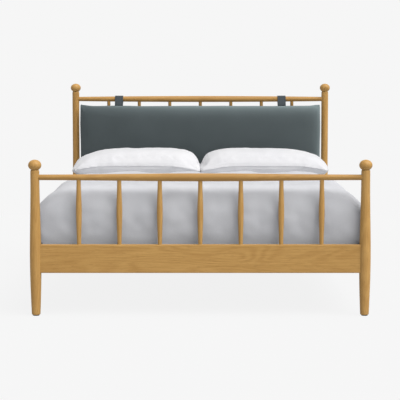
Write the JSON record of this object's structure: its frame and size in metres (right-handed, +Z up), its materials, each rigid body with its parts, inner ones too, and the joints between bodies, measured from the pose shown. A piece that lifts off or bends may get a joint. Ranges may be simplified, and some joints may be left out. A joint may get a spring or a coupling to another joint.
{
  "type": "spindle bed",
  "caption": "Wooden spindle bed with turned posts, rails and ball finials, slatted base, mattress, duvet, pillows and a padded cushion strapped to the head rail.",
  "frame": {"origin": "on the floor, at the middle of the four posts", "axes": "+X to the right as seen from the foot, +Y from the foot to the head, +Z up"},
  "size_m": [1.6118, 2.1218, 1.108],
  "materials": {
    "oak": "clear matt oil on oak",
    "pine": "planed, unfinished",
    "bracket_steel": "black powder coat",
    "zinc_fixings": "zinc plated",
    "glide_plastic": "matt",
    "sheeted_mattress": "fitted cotton sheet",
    "white_duvet": "washed cotton",
    "white_pillow": "washed cotton",
    "slate_cushion": "matt, fine grained",
    "slate_strap": "matt"
  },
  "bodies": {
    "frame": {"head_post_left": "oak", "head_post_right": "oak", "foot_post_left": "oak", "foot_post_right": "oak", "head_finial_left": "oak", "head_finial_right": "oak", "foot_finial_left": "oak", "foot_finial_right": "oak", "head_top_rail": "oak", "foot_top_rail": "oak", "head_lower_rail": "oak", "foot_lower_rail": "oak", "head_spindle_1": "oak", "head_spindle_2": "oak", "head_spindle_3": "oak", "head_spindle_4": "oak", "head_spindle_5": "oak", "head_spindle_6": "oak", "head_spindle_7": "oak", "foot_spindle_1": "oak", "foot_spindle_2": "oak", "foot_spindle_3": "oak", "foot_spindle_4": "oak", "foot_spindle_5": "oak", "foot_spindle_6": "oak", "foot_spindle_7": "oak", "side_rail_left": "oak", "side_rail_right": "oak", "ledger_left": "pine", "ledger_right": "pine", "centre_beam": "pine", "slat_1": "pine", "slat_2": "pine", "slat_3": "pine", "slat_4": "pine", "slat_5": "pine", "slat_6": "pine", "slat_7": "pine", "slat_8": "pine", "slat_9": "pine", "slat_10": "pine", "slat_11": "pine", "slat_12": "pine", "beam_bracket_head": "bracket_steel", "beam_bracket_foot": "bracket_steel", "rail_studs": "zinc_fixings", "stud_washers": "zinc_fixings", "stud_nuts": "zinc_fixings", "slat_screws": "zinc_fixings", "ledger_screws": "zinc_fixings", "bracket_screws": "zinc_fixings", "floor_glides": "glide_plastic", "mattress": "sheeted_mattress"},
    "cushion": {"headboard_cushion": "slate_cushion", "cushion_strap_left": "slate_strap", "cushion_strap_right": "slate_strap"},
    "left_pillow": {"pillow_left": "white_pillow"},
    "right_pillow": {"pillow_right": "white_pillow"},
    "duvet_cover": {"duvet": "white_duvet"}
  },
  "joints": [
    {"name": "cushion_swing", "type": "hinge", "parent": "frame", "child": "cushion", "pos_m": [0, 1.03, 1.013], "axis": [-1, 0, 0], "range_deg": [0, 7]},
    {"name": "pillow_left_lift", "type": "slide", "parent": "frame", "child": "left_pillow", "axis": [0, 0, 1], "range_m": [0, 0.35]},
    {"name": "pillow_right_lift", "type": "slide", "parent": "frame", "child": "right_pillow", "axis": [0, 0, 1], "range_m": [0, 0.35]},
    {"name": "duvet_lift", "type": "slide", "parent": "frame", "child": "duvet_cover", "axis": [0, 0, 1], "range_m": [0, 0.4]}
  ]
}
